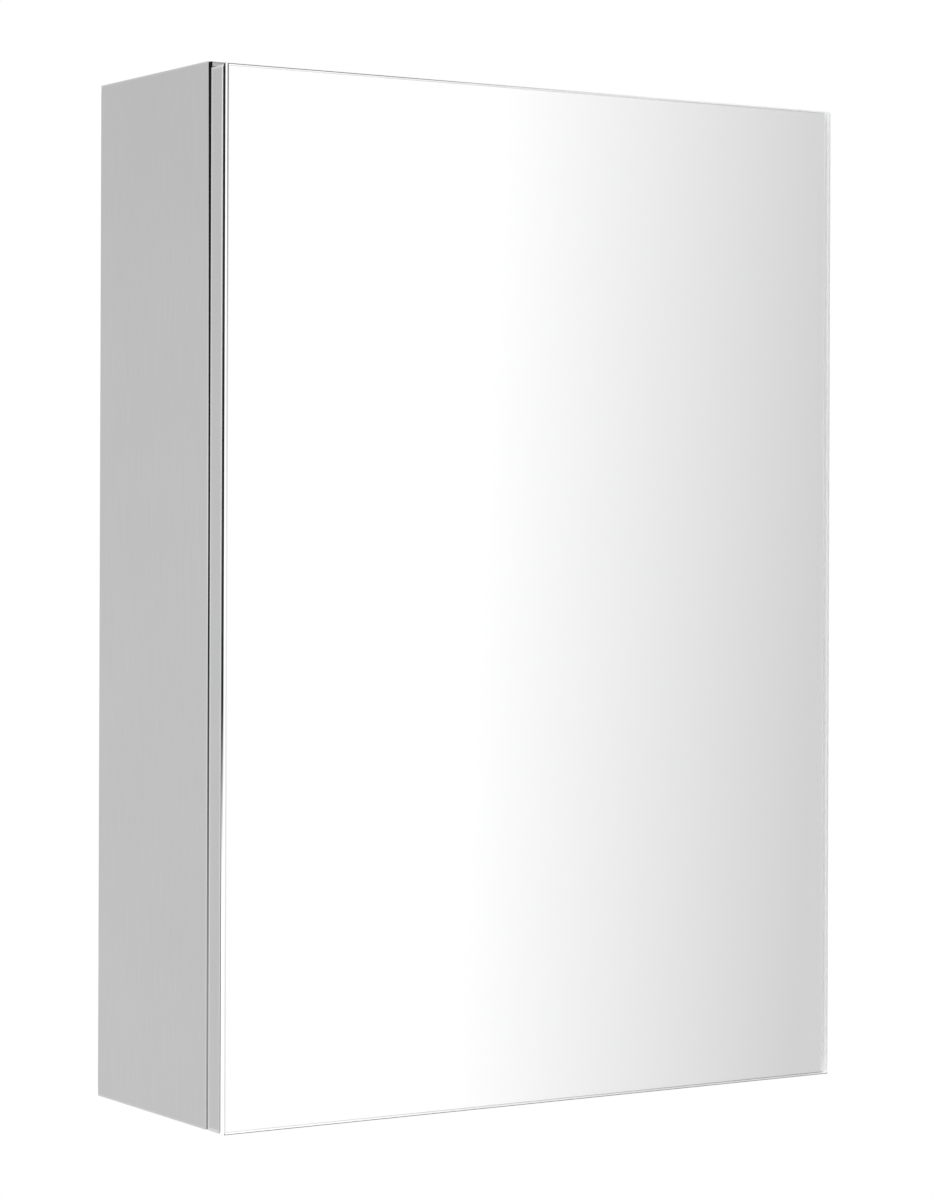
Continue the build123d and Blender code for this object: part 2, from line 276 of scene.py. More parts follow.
def ring_disc(name, radius, level, rings, sides):
    """A flat round mesh of rings, wide enough to stand for a studio floor."""
    mesh = bmesh.new()
    centre = mesh.verts.new((0, 0, level))
    last_ring = None
    for ring in range(1, rings + 1):
        reach = radius * ring / rings
        turns = [2 * math.pi * side / sides for side in range(sides)]
        points = [
            mesh.verts.new((reach * math.cos(turn), reach * math.sin(turn), level))
            for turn in turns
        ]
        for side in range(sides):
            after = (side + 1) % sides
            if last_ring is None:
                mesh.faces.new((centre, points[side], points[after]))
            else:
                mesh.faces.new((last_ring[side], points[side], points[after], last_ring[after]))
        last_ring = points
    return in_scene(name, mesh_from(name, mesh))


floor = ring_disc("studio_floor", floor_radius, floor_level, floor_rings, floor_sides)
print("floor", 2 * floor_radius, "m wide at", floor_level, "m, faces", len(floor.data.polygons))

# %% [markdown]
# A studio floor is pale and matt and curves up into the tent. The disc's material does that: near
# the middle it is a pale matt surface that takes the soft shadow, and towards its rim it thins
# away to nothing, so that the tent shows through. A disc that turned white instead would leave a
# hard line in the mirror, where white floor met the shaded side of the tent.
#
# Every finish starts with an empty tree and the piece's own coordinates, and nearly every one
# uses a noise, so there is a helper for each.

# %% Paint the floor
solid_reach = 1.6
clear_reach = 3.8


def blank_finish(name):
    """A material with an empty tree; gives the material, the tree and the Object coordinates."""
    finish = bpy.data.materials.new(name)
    finish.use_nodes = True
    finish.node_tree.nodes.clear()
    place = add_node(finish.node_tree, "ShaderNodeTexCoord").outputs["Object"]
    return finish, finish.node_tree, place


def cells(tree, place, scale, detail):
    """A noise with this many cells to the metre."""
    sockets = {"Vector": place, "Scale": scale, "Detail": detail}
    return add_node(tree, "ShaderNodeTexNoise", sockets).outputs[0]


def show(tree, shader):
    """Joins the last shader to the material's output."""
    add_node(tree, "ShaderNodeOutputMaterial", {"Surface": shader.outputs[0]})


floor_paint, tree, place = blank_finish("floor_paint")
distance = add_node(tree, "ShaderNodeVectorMath", {0: place}, operation="LENGTH")
mottle = cells(tree, place, 3.0, 3.0)
colour = mix_colours(tree, mottle, (0.80, 0.80, 0.80, 1), (0.84, 0.84, 0.84, 1))
matt = add_node(tree, "ShaderNodeBsdfDiffuse", {"Color": colour, "Roughness": 0.6})
away = add_node(tree, "ShaderNodeBsdfTransparent")
ray = add_node(tree, "ShaderNodeLightPath").outputs
shown = calculate(tree, "MAXIMUM", ray["Is Camera Ray"], ray["Is Glossy Ray"])
shown = calculate(tree, "MAXIMUM", shown, ray["Is Transmission Ray"])
rim = remap(tree, distance.outputs["Value"], solid_reach, clear_reach, 0.0, 1.0, True)
rim = calculate(tree, "MULTIPLY", rim, shown)
show(
    tree, add_node(tree, "ShaderNodeMixShader", {0: rim, 1: matt.outputs[0], 2: away.outputs[0]})
)
floor.data.materials.append(floor_paint)
print("floor clear beyond", clear_reach, "m")

# %% [markdown]
# ## Lamps
#
# Two soft panels are enough. The main one stands to the front left and a little high: it draws
# the fine bright line along each fold, because a fold turns through every angle and somewhere
# faces the lamp. A weaker and smaller one fills from the right. Both are much larger than the
# cabinet, so nothing has a hard shadow.


# %% Set the lamps
def soft_panel(name, place, aim, size, watts):
    """A square lamp at a place, turned to face a point."""
    lamp = bpy.data.lights.new(name, "AREA")
    lamp.size = size
    lamp.energy = watts
    made = in_scene(name, lamp)
    made.location = place
    made.rotation_euler = (Vector(aim) - Vector(place)).to_track_quat("-Z", "Y").to_euler()
    return made


middle = (cad_low + cad_high) / 2
soft_panel("front_left_panel", (-1.9, -1.5, 1.1), middle, 2.4, 11)
soft_panel("right_fill_panel", (2.6, -0.9, 1.3), middle, 1.8, 9)

# %% [markdown]
# ## Satin sheet steel
#
# Nearly everything here is sheet steel with a satin face: rolled, brushed with a fine belt and
# left plain. Three things tell the eye that it is metal and not grey paint. The brushed grain
# runs one way and is finer than a hair. The sheen wanders a little where hands and rollers
# have been. And folds and cut edges are smoother from burnishing, and their colour is also made
# lighter there as a painted highlight.
#
# A photograph of steel could be wrapped round the box, but it would stretch at the folds. The
# grain is made in the shader from the sheet's own coordinates instead: one noise stretched along
# the brushing, one cloudy noise for the sheen, and a mask close to the box's edges that smooths
# them and paints a highlight there.


# %% The steel recipe
strands_across = 3800.0
strands_along = 45.0
cloud_scale = 14.0
edge_polish = 0.10
cloud_strength = 0.12
hair_sheen = 0.03
hair_depth = 0.02 * MM
hair_strength = 0.04


def spread(tree, noise_value, low, high):
    """A noise carried from 0.3 to 0.7, where most of it lies, to a new range."""
    return remap(tree, noise_value, 0.3, 0.7, low, high)


def shade(colour, share):
    """A colour made lighter or darker by a share, with the 1 that a socket wants."""
    return [min(1, part * (1 + share)) for part in colour] + [1]


def box_edge_mask(tree, place, low, high, reach):
    """1 at the edges of a box, falling to 0 at a distance inside its faces.

    A side thinner than three such distances has no face between its edges, so it is left out.
    """
    parts = add_node(tree, "ShaderNodeSeparateXYZ", {0: place}).outputs
    gaps = []
    for axis in range(3):
        if high[axis] - low[axis] < 3 * reach:
            continue
        from_low = calculate(tree, "SUBTRACT", parts[axis], low[axis])
        from_high = calculate(tree, "SUBTRACT", high[axis], parts[axis])
        gaps.append(calculate(tree, "MINIMUM", from_low, from_high))
    if len(gaps) == 3:
        near = calculate(tree, "MINIMUM", gaps[0], gaps[1])
        far = calculate(tree, "MAXIMUM", gaps[0], gaps[1])
        second = calculate(tree, "MAXIMUM", near, calculate(tree, "MINIMUM", far, gaps[2]))
    else:
        second = calculate(tree, "MINIMUM", gaps[0], gaps[-1])
    return remap(tree, second, 0.0, reach, 1.0, 0.0, True)


def satin_metal(name, colour, rough, grain_along="Z", grain=0.05, wander=0.06, box=None,
                burnish_and_highlight=0.25, burnish_and_highlight_reach=1.2 * MM):
    """Brushed metal: grain, cloudy sheen and, with a box, burnished edges with a painted highlight.
    """
    finish, tree, place = blank_finish(name)
    stretch = [strands_along if axis == grain_along else strands_across for axis in "XYZ"]
    strands = add_node(tree, "ShaderNodeMapping", {"Vector": place, "Scale": stretch})
    hair = cells(tree, strands.outputs[0], 1.0, 2.0)
    cloud = cells(tree, place, cloud_scale, 4.0)
    light = shade(colour, grain)
    tone = mix_colours(tree, spread(tree, hair, 0.0, 1.0), shade(colour, -grain), light)
    worn_and_highlight = mix_colours(tree, spread(tree, cloud, 0.0, cloud_strength), tone, light)
    sheen = calculate(
        tree, "ADD", spread(tree, cloud, rough - wander / 2, rough + wander / 2),
        spread(tree, hair, -hair_sheen, hair_sheen),
    )
    if box is not None:
        edge = box_edge_mask(tree, place, box[0], box[1], burnish_and_highlight_reach)
        # Painted highlight: near the box's edges the colour is lightened, and the roughness drops
        # as burnishing leaves it.
        worn_and_highlight = mix_colours(tree, edge, worn_and_highlight, shade(colour, burnish_and_highlight))
        sheen = calculate(tree, "SUBTRACT", sheen, calculate(tree, "MULTIPLY", edge, edge_polish))
    relief = add_node(
        tree, "ShaderNodeBump", {"Height": hair, "Strength": hair_strength, "Distance": hair_depth}
    ).outputs[0]
    show(tree, add_node(
        tree, "ShaderNodeBsdfPrincipled",
        {"Base Color": worn_and_highlight, "Metallic": 1.0, "Roughness": sheen, "Normal": relief},
    ))
    return finish


def dress(node_names, finish):
    """Gives CAD nodes a finish in place of their plain one."""
    for node_name in node_names:
        for slot in nodes[node_name].material_slots:
            slot.material = finish
    print(finish.name, "->", ", ".join(node_names))


# %% [markdown]
# ## The steel body
#
# The four outer panels are brushed along their length. They share one recipe, and the box for
# the burnished edges and their painted highlight is the whole body, whose front and back edges
# are the folds that show.

# %% Body, shelves and back
body_low = Vector((cad_low.x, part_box("left_side_panel")[0].y, cad_low.z))
body_high = Vector((-cad_low.x, 0.0, cad_high.z))
body_box = (body_low, body_high)
body_grey = (0.532, 0.532, 0.532)
# The edge value here both smooths the folds and lightens their colour as a painted highlight.
body_satin = satin_metal("body_satin", body_grey, 0.42, "Z", box=body_box, burnish_and_highlight=0.10)
deck_satin = satin_metal("deck_satin", body_grey, 0.42, "X", box=body_box, burnish_and_highlight=0.10)
dress(["left_side_panel", "right_side_panel"], body_satin)
dress(["top_panel", "bottom_panel"], deck_satin)

shelf_satin = satin_metal("shelf_satin", (0.55, 0.55, 0.55), 0.38, "X")
dress(["upper_shelf", "lower_shelf"], shelf_satin)
back_mill = satin_metal("back_mill", (0.55, 0.56, 0.57), 0.34, "Z", grain=0.07, wander=0.12)
dress(["back_panel", "upper_wall_rail", "lower_wall_rail"], back_mill)

# %% [markdown]
# ## The door's steel
#
# The door tray is the same sheet. Its box is the tray's own, carried a little forward, so that
# both folds of its flange are picked out by a fine painted highlight. The channels inside it are
# bright galvanised strip, and the hinge is rolled steel, smoother than the sheet it is welded to.

# %% Door tray, stiffeners and hinge
pan_low, pan_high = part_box("door_pan")
box_forward = 1.3 * MM
flange_reach = 2.1 * MM
pan_box = (pan_low - Vector((0, box_forward, 0)), pan_high)
# The edge value lightens both folds of the flange as a painted highlight, and smooths them.
door_satin = satin_metal(
    "door_satin", (0.52, 0.52, 0.52), 0.40, "Z", box=pan_box, burnish_and_highlight=0.5,
    burnish_and_highlight_reach=flange_reach,
)
dress(["door_pan"], door_satin)
panel_satin = satin_metal("door_panel_satin", (0.54, 0.54, 0.54), 0.40, "Z")
dress(["door_back_panel"], panel_satin)
zinc_strip = satin_metal(
    "zinc_strip", (0.58, 0.60, 0.62), 0.36, "Z", grain=0.10, wander=0.22
)
dress(["door_stiffeners", "strike_plates"], zinc_strip)
hinge_bright = satin_metal("hinge_bright", (0.64, 0.64, 0.63), 0.26, "Z", grain=0.04)
dress(["hinge_fixed_leaf", "hinge_moving_leaf"], hinge_bright)
pin_wire = satin_metal("pin_wire", (0.60, 0.60, 0.59), 0.22, "Z", grain=0.08)
dress(["hinge_pin"], pin_wire)

# %% [markdown]
# ## Mirror glass
#
# A mirror is three things: clear float glass, a film of silver on its back, and paint over the
# silver. The reflection that matters comes from the silver, through 4 mm of glass, with a faint
# second one from the glass's own face. A single shiny sheet would look flat at its edge, where
# a real mirror shows the thickness of the pane and a ground arris. So the pane is a clear solid of
# its own, cut here with its arrises eased as a grinding belt leaves them. It stops a hair's
# breadth short of the silver, because two faces in one place confuse a renderer.

# %% Cut the pane
glass_low, glass_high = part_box("mirror_glass")
arris_width = 0.5 * MM
film_gap = 0.02 * MM
eased_width = 0.08 * MM


def skinned(name, loops):
    """An object whose closed skin runs through loops of points, capped at both ends."""
    mesh = bmesh.new()
    rings = [[mesh.verts.new(point) for point in loop] for loop in loops]
    for near, far in zip(rings, rings[1:]):
        for corner in range(len(near)):
            after = (corner + 1) % len(near)
            mesh.faces.new((near[corner], near[after], far[after], far[corner]))
    mesh.faces.new(rings[0])
    mesh.faces.new(rings[-1])
    bmesh.ops.recalc_face_normals(mesh, faces=mesh.faces)
    return in_scene(name, mesh_from(name, mesh))


def slab_loops(low, high, arris):
    """Four rectangles in XZ, one behind the other, that leave an arris round both faces."""
    loops = []
    for depth, inset in (
        (high.y, arris),
        (high.y - arris, 0.0),
        (low.y + arris, 0.0),
        (low.y, arris),
    ):
        left, right = low.x + inset, high.x - inset
        bottom, top = low.z + inset, high.z - inset
        loops.append(
            [(left, depth, bottom), (right, depth, bottom), (right, depth, top), (left, depth, top)]
        )
    return loops


pane_high = Vector((glass_high.x, glass_high.y - film_gap, glass_high.z))
pane = skinned("polished_pane", slab_loops(glass_low, pane_high, arris_width))
soften = pane.modifiers.new("eased_edges", "BEVEL")
soften.width = eased_width
soften.segments = 2
soften.limit_method = "ANGLE"
soften.angle_limit = math.radians(30)
pane.data.shade_smooth()
soften.harden_normals = True
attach(pane, "door")
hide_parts("mirror_glass")
print("pane thickness in mm:", round((pane_high.y - glass_low.y) / MM, 2))

# %% [markdown]
# The glass is clear through its faces, but its edges are ground: they are white and matt, because
# the belt leaves them full of tiny scratches. One material holds both, so the shader first works
# out where each thing is, from the pane's own coordinates. On the opening side the back of the
# edge is painted black as painted shade, which darkens the thin line between door and mirror.
# This painted shade thins out towards the bottom.

# %% Where the edge is ground and where shade is painted
shade_reach = 2.1 * MM
shade_heights = (-0.13, -0.04)

glass, tree, place = blank_finish("float_glass")
across, depth, height = add_node(tree, "ShaderNodeSeparateXYZ", {0: place}).outputs
inward = calculate(tree, "SUBTRACT", across, glass_low.x)
for high_side, low_side in (
    (glass_high.x, across),
    (height, glass_low.z),
    (glass_high.z, height),
):
    inward = calculate(tree, "MINIMUM", inward, calculate(tree, "SUBTRACT", high_side, low_side))
ground = calculate(tree, "LESS_THAN", inward, arris_width)
front_arris = calculate(tree, "LESS_THAN", depth, glass_low.y + 0.9 * arris_width)
hinge_edge = calculate(tree, "GREATER_THAN", across, glass_high.x - arris_width)
open_edge = calculate(tree, "LESS_THAN", across, glass_low.x + arris_width)
shade_line = calculate(tree, "GREATER_THAN", depth, glass_high.y - shade_reach)
# Painted shade: black on the back of the open edge, fading out lower down.
painted_shade = remap(tree, height, *shade_heights, 0.0, 1.0, True)
for limit in (open_edge, ground, shade_line):
    painted_shade = calculate(tree, "MULTIPLY", painted_shade, limit)
print("pane masks made with", len(tree.nodes), "nodes")

# %% [markdown]
# The ground strip is powdery white, a little uneven from grain to grain. The front arris looks
# darkest at the upper left, because there it leans towards the shaded part of the tent, and dark
# again along the foot. A second lamp could have made that shading, but would have lit the steel as
# well, so the shade is painted into the arris colour by height and by place across the pane.

# %% Tones and painted shade of the ground edge
clear_tint = (0.990, 0.991, 0.991, 1)
shade_black = (0.015, 0.015, 0.016, 1)
arris_heights = (0.02, 0.215)
arris_places = (-0.08, 0.06)
arris_dark = 0.22
foot_dark = 0.34

grind = cells(tree, place, 2600.0, 2.0)
powder_and_shade = mix_colours(tree, grind, (0.90, 0.92, 0.91, 1), (0.96, 0.97, 0.965, 1))
up_tone = remap(tree, height, *arris_heights, 0.88, arris_dark)
across_tone = remap(tree, across, *arris_places, arris_dark, 0.95)
foot_line = glass_low.z + arris_width
foot_tone = remap(tree, height, foot_line, foot_line + arris_width, foot_dark, 1.0)
arris_painted_shade = calculate(tree, "MAXIMUM", up_tone, across_tone)
arris_painted_shade = calculate(tree, "MINIMUM", arris_painted_shade, foot_tone)
powder_and_shade = mix_colours(tree, front_arris, powder_and_shade, arris_painted_shade)
tint = mix_colours(tree, ground, clear_tint, powder_and_shade)
# The black here is painted shade, not a coat on the glass.
tint = mix_colours(tree, painted_shade, tint, shade_black)
print("edge tones added,", len(tree.nodes), "nodes")

# %% [markdown]
# Light that runs along inside the pane comes out at the ground strip, so the edge is brighter
# than anything matt near it. A renderer that stops a ray after a few bounces loses that light, so
# a faint glow stands for it: outside on the open sides, and inside wherever the ground strip is
# seen through the pane.

# %% Clear glass
outer_glow = 0.30
inner_places = (-0.10, 0.15)
inner_glows = (0.60, 0.16)

hidden = calculate(tree, "MAXIMUM", front_arris, painted_shade)
open_side = calculate(tree, "MAXIMUM", calculate(tree, "SUBTRACT", ground, hidden), 0.0)
glowing = calculate(tree, "MAXIMUM", open_side, hinge_edge)
edge_glow = calculate(tree, "MULTIPLY", glowing, outer_glow)
from_inside = add_node(tree, "ShaderNodeNewGeometry").outputs["Backfacing"]
inner_glow = calculate(tree, "MULTIPLY", ground, remap(tree, across, *inner_places, *inner_glows))
inner_glow = calculate(tree, "MULTIPLY", inner_glow, from_inside)
show(tree, add_node(
    tree, "ShaderNodeBsdfPrincipled",
    {
        "Base Color": tint,
        "Roughness": calculate(tree, "MULTIPLY", ground, spread(tree, grind, 0.4, 0.6)),
        "Specular IOR Level": remap(tree, painted_shade, 0.0, 1.0, 0.5, 0.03),
        "Transmission Weight": calculate(tree, "SUBTRACT", 1.0, ground),
        "Emission Color": (1, 1, 1, 1),
        "Emission Strength": calculate(tree, "MAXIMUM", edge_glow, inner_glow),
        "IOR": 1.52,
    },
))
pane.data.materials.append(glass)
print("float glass has", len(tree.nodes), "nodes")

# %% [markdown]
# The silver faces the glass and the paint faces the door. Both are on one thin solid, so the
# shader chooses by depth: the foremost tenth of a millimetre is silver, the rest is grey paint
# with the slight orange peel that rollers leave.

# %% Silver and its paint
silver_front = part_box("mirror_backing")[0].y
silver_depth = 0.1 * MM

silver, tree, place = blank_finish("silvered_back")
depth = add_node(tree, "ShaderNodeSeparateXYZ", {0: place}).outputs[1]
painted = calculate(tree, "GREATER_THAN", depth, silver_front + silver_depth)
peel = cells(tree, place, 900.0, 2.0)
paint_tone = mix_colours(tree, peel, (0.20, 0.22, 0.23, 1), (0.26, 0.28, 0.29, 1))
coat = mix_colours(tree, painted, (0.975, 0.975, 0.975, 1), paint_tone)
dull = calculate(tree, "MULTIPLY", painted, spread(tree, peel, 0.45, 0.6))
bare = calculate(tree, "SUBTRACT", 1.0, painted)
show(tree, add_node(
    tree, "ShaderNodeBsdfPrincipled", {"Base Color": coat, "Metallic": bare, "Roughness": dull}
))
dress(["mirror_backing"], silver)

# %% [markdown]
# ## Foam, rubber and plastic
#
# The small soft parts are dull next to the steel. The tape that carries the mirror is closed-cell
# foam, nearly black, pitted with cells a fraction of a millimetre wide. The bumpers are a milky
# rubber. The catches are moulded in off-white plastic with a fine spark-eroded grain.
#
# One recipe serves them all. Foam can be given painted light towards its bottom: it is given as
# the height where the painted light starts, the height where it covers all and the grey it
# reaches. Foam hardly shines, because the cells that are cut through at its surface trap the
# light, so its gloss can be turned down too.


# %% The soft finishes
sheen_wander = 0.06
broad_cells = 20


def moulded(name, dark, light, rough, cell_scale, bump, see_through=0.0, ior=1.5,
            painted_light_below=None, shine=0.5):
    """Plastic or rubber: a small-scale noise moves its colour, sheen and surface."""
    finish, tree, place = blank_finish(name)
    fine = cells(tree, place, cell_scale, 3.0)
    broad = cells(tree, place, cell_scale / broad_cells, 2.0)
    tone = mix_colours(tree, spread(tree, broad, 0.0, 1.0), dark + (1,), light + (1,))
    if painted_light_below is not None:
        light_starts, light_covers, lit_grey = painted_light_below
        # Painted light: the colour turns to a lighter grey towards the bottom.
        height = add_node(tree, "ShaderNodeSeparateXYZ", {0: place}).outputs[2]
        painted_light = remap(tree, height, light_starts, light_covers, 0.0, 1.0, True)
        tone = mix_colours(tree, painted_light, tone, [lit_grey] * 3 + [1])
    relief = add_node(
        tree, "ShaderNodeBump", {"Height": fine, "Strength": bump, "Distance": 0.1 * MM}
    ).outputs[0]
    show(tree, add_node(
        tree, "ShaderNodeBsdfPrincipled",
        {
            "Base Color": tone,
            "Roughness": spread(tree, fine, rough - sheen_wander, rough + sheen_wander),
            "Transmission Weight": see_through,
            "Specular IOR Level": shine,
            "IOR": ior,
            "Normal": relief,
        },
    ))
    return finish


foam = ((0.004, 0.004, 0.004), (0.008, 0.008, 0.008), 0.85, 2500.0, 0.6)
# Both foams get a painted lighter lower part, where the dark gap lines fade out.
tape_finish = moulded("tape_finish", *foam, painted_light_below=(-0.08, -0.17, 0.75), shine=0.1)
dress(["mirror_tape"], tape_finish)
# The seal's near-black foam stands in the door gap as painted shade.
seal_shade_finish = moulded("seal_shade_finish", *foam, painted_light_below=(0.0, -0.20, 0.34), shine=0.1)
dress(["door_seal"], seal_shade_finish)
milky_rubber = moulded(
    "milky_rubber", (0.62, 0.62, 0.60), (0.70, 0.70, 0.68), 0.42, 1200.0, 0.1, 0.35, 1.49
)
catch_plastic = moulded(
    "plug_plastic", (0.76, 0.76, 0.73), (0.81, 0.81, 0.78), 0.48, 3000.0, 0.25
)
nickel = satin_metal("bright_nickel", (0.66, 0.64, 0.60), 0.18, "X", grain=0.03, wander=0.08)
rivet_grey = satin_metal("rivet_grey", (0.72, 0.72, 0.73), 0.32, "X", grain=0.04, wander=0.10)

# %% [markdown]
# The black line in the door gap is widest at the top of the cabinet and thins out downwards. That
# line is shade, and it is painted with black foam: at the top a soft lip of the strip stands out
# over both folds. A lip is a skin drawn through a row of cross-sections, each a
# little narrower than the one above, with the slight waviness that cut foam has.

# %% Seal lip
seal_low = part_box("door_seal")[0]
fold_radius = 0.75 * MM
lip_steps = 48
lip_top = cad_high.z - 0.4 * MM
widening = 1.6
wave_depth = 0.02 * MM
waves = 160
clearance = 0.01 * MM
overhang = 0.02 * MM
over_fold = 0.50 * MM
fold_share = 0.27
tuck = 0.05 * MM
shoulder = 0.2 * MM
side_face = body_low.x
gap_back = body_low.y
gap_front = pan_high.y


def lip_section(height, swell):
    """The lip's outline at a height: inside the gap at swell 0, over both folds at swell 1."""
    wave = wave_depth * noise.noise(Vector((0.0, 0.0, height * waves)))
    fold_reach = fold_share * fold_radius
    full = (
        (side_face + overhang, gap_back + over_fold),
        (side_face + fold_reach, gap_back + fold_reach),
        (side_face + fold_radius, gap_back - overhang),
        (side_face + fold_radius, gap_front + overhang),
        (side_face + fold_reach, gap_front - fold_reach),
        (side_face + overhang, gap_front - over_fold),
    )
    inner = seal_low.x + clearance
    near, far = gap_back - tuck, seal_low.y + tuck
    small = (
        (inner, near),
        (inner + shoulder, near),
        (side_face + fold_radius, near),
        (side_face + fold_radius, far),
        (inner + shoulder, far),
        (inner, far),
    )
    outline = []
    for (small_x, small_y), (full_x, full_y) in zip(small, full):
        x = small_x + (full_x - small_x) * swell + wave
        y = small_y + (full_y - small_y) * swell
        outline.append((max(x, side_face + clearance), y, height))
    return outline


lip_loops = []
for step in range(lip_steps + 1):
    share = step / lip_steps
    lip_loops.append(lip_section(share * lip_top, share**widening))
# A dark lip of foam, laid over the folds as painted shade.
lip = skinned("seal_lip", lip_loops)
lip.data.shade_smooth()
lip.data.set_sharp_from_angle(angle=math.radians(50))
lip.data.materials.append(seal_shade_finish)
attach(lip, "cabinet")
print("seal lip with", len(lip.data.polygons), "faces")

# %% [markdown]
# ## Small parts that repeat
#
# Rivets, weld marks, catches and bumpers are each one shape, turned like something from a lathe,
# that comes back again and again. Copying them by hand would work for four rivets but not for a
# hundred weld marks. So each shape is turned once, as a mesh, and a Geometry Nodes tree puts it
# at every point of a plan, facing the way that the plan says.
#
# The lathe comes first: half an outline, from the axis out and back to the axis, is spun round.


# %% A lathe for small parts
def turned_mesh(name, outline, sides, crease=40.0):
    """A closed mesh from half an outline of (radius, height) in mm, spun about Z."""
    mesh = bmesh.new()
    depth = mesh.verts.layers.float.new("from_axis")
    reach = max(radius for radius, _ in outline)
    rings = []
    for radius, height in outline:
        ring = []
        for side in range(sides if radius > 0 else 1):
            turn = 2 * math.pi * side / sides
            point = Vector((radius * math.cos(turn), radius * math.sin(turn), height)) * MM
            vertex = mesh.verts.new(point)
            vertex[depth] = radius / reach
            ring.append(vertex)
        rings.append(ring)
    for near, far in zip(rings, rings[1:]):
        for side in range(sides):
            after = (side + 1) % sides
            if len(near) == 1:
                mesh.faces.new((near[0], far[after], far[side]))
            elif len(far) == 1:
                mesh.faces.new((near[side], near[after], far[0]))
            else:
                mesh.faces.new((near[side], near[after], far[after], far[side]))
    bmesh.ops.recalc_face_normals(mesh, faces=mesh.faces)
    data = mesh_from(name, mesh)
    data.shade_smooth()
    data.set_sharp_from_angle(angle=math.radians(crease))
    return data


# %% [markdown]
# The tree reads a plan: a mesh of loose points and lines, each with a direction that the part
# should face. Points take one part each. Lines are cut into equal steps first, with a part at
# both ends. The sizes are named inputs, so the same tree serves every part in this lesson. Each
# part is turned about its own axis by a random angle, from a fixed seed, which keeps two
# neighbours from looking like copies.


# %% The placing tree
def placing_tree():
    """Geometry Nodes: a part at every point of a plan, and along its lines at a spacing."""
    tree = bpy.data.node_groups.new("parts_on_plan", "GeometryNodeTree")
    sockets = (
        ("Plan", "NodeSocketGeometry", None),
        ("Part", "NodeSocketObject", None),
        ("Spacing", "NodeSocketFloat", 0.05),
        ("Turn Seed", "NodeSocketInt", 7),
        ("Finish", "NodeSocketMaterial", None),
    )
    for label, kind, default in sockets:
        socket = tree.interface.new_socket(name=label, in_out="INPUT", socket_type=kind)
        if default is not None:
            socket.default_value = default
    tree.interface.new_socket(name="Parts", in_out="OUTPUT", socket_type="NodeSocketGeometry")
    given = add_node(tree, "NodeGroupInput").outputs
    lines = add_node(tree, "GeometryNodeMeshToCurve", {"Mesh": given["Plan"]}).outputs[0]
    steps = add_node(
        tree, "GeometryNodeResampleCurve", {"Curve": lines, "Length": given["Spacing"]},
        mode="LENGTH",
    ).outputs[0]
    loose = add_node(tree, "GeometryNodeInputMeshVertexNeighbors").outputs["Vertex Count"]
    alone = add_node(
        tree, "FunctionNodeCompare", {2: loose, 3: 0}, data_type="INT", operation="EQUAL"
    ).outputs[0]
    points = add_node(
        tree, "GeometryNodeMeshToPoints", {"Mesh": given["Plan"], "Selection": alone}
    ).outputs[0]
    places = add_node(tree, "GeometryNodeJoinGeometry")
    line_points = add_node(tree, "GeometryNodeCurveToPoints", {"Curve": steps}, mode="EVALUATED")
    tree.links.new(points, places.inputs[0])
    tree.links.new(line_points.outputs[0], places.inputs[0])
    facing = add_node(
        tree, "GeometryNodeInputNamedAttribute", {"Name": "facing"}, data_type="FLOAT_VECTOR"
    ).outputs[0]
    aligned = add_node(
        tree, "FunctionNodeAlignRotationToVector", {"Vector": facing}, axis="Z"
    ).outputs[0]
    twist = add_node(
        tree, "FunctionNodeRandomValue", {2: 0.0, 3: 2 * math.pi, "Seed": given["Turn Seed"]}
    ).outputs[1]
    about_axis = add_node(
        tree, "FunctionNodeAxisAngleToRotation", {"Axis": (0, 0, 1), "Angle": twist}
    ).outputs[0]
    turned = add_node(
        tree, "FunctionNodeRotateRotation", {0: aligned, 1: about_axis}, rotation_space="LOCAL"
    ).outputs[0]
    part = add_node(tree, "GeometryNodeObjectInfo", {"Object": given["Part"]})
    placed = add_node(
        tree, "GeometryNodeInstanceOnPoints",
        {"Points": places.outputs[0], "Instance": part.outputs["Geometry"], "Rotation": turned},
    ).outputs[0]
    real = add_node(tree, "GeometryNodeRealizeInstances", {0: placed}).outputs[0]
    done = add_node(
        tree, "GeometryNodeSetMaterial", {"Geometry": real, "Material": given["Finish"]}
    ).outputs[0]
    add_node(tree, "NodeGroupOutput", {0: done})
    return tree


parts_on_plan = placing_tree()
print("placing tree has", len(parts_on_plan.nodes), "nodes")

# %% [markdown]
# A plan is written as a list: a point or a line, and the way to face. The helper below runs the
# tree on it and then keeps only the plain mesh that comes out, because an exported model has no
# modifiers and no instances.


# %% Place parts on a plan
def place_parts(name, data, plan, finish, body, spacing=0.05, seed=7):
    """Parts at the points and along the lines of a plan, as one plain mesh on a body."""
    mesh = bmesh.new()
    facing_layer = mesh.verts.layers.float_vector.new("facing")
    for ends, facing in plan:
        made = []
        for end in ends:
            vertex = mesh.verts.new(end)
            vertex[facing_layer] = facing
            made.append(vertex)
        if len(made) == 2:
            mesh.edges.new(made)
    if not data.materials:
        data.materials.append(finish)
    single = in_scene(name + "_single", data)
    pieces = in_scene(name, mesh_from(name + "_plan", mesh))
    placing = pieces.modifiers.new("placing", "NODES")
    placing.node_group = parts_on_plan
    inputs = {item.name: item.identifier for item in parts_on_plan.interface.items_tree}
    placing[inputs["Part"]] = single
    placing[inputs["Spacing"]] = spacing
    placing[inputs["Turn Seed"]] = seed
    placing[inputs["Finish"]] = finish
    seen = pieces.evaluated_get(bpy.context.evaluated_depsgraph_get())
    plain = bpy.data.meshes.new_from_object(seen)
    pieces.modifiers.remove(placing)
    pieces.data = plain
    bpy.data.objects.remove(single)
    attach(pieces, body)
    count = len(plain.vertices) // len(data.vertices)
    print(name, "on", body, ":", count, "parts,", len(plain.polygons), "faces")
    return pieces


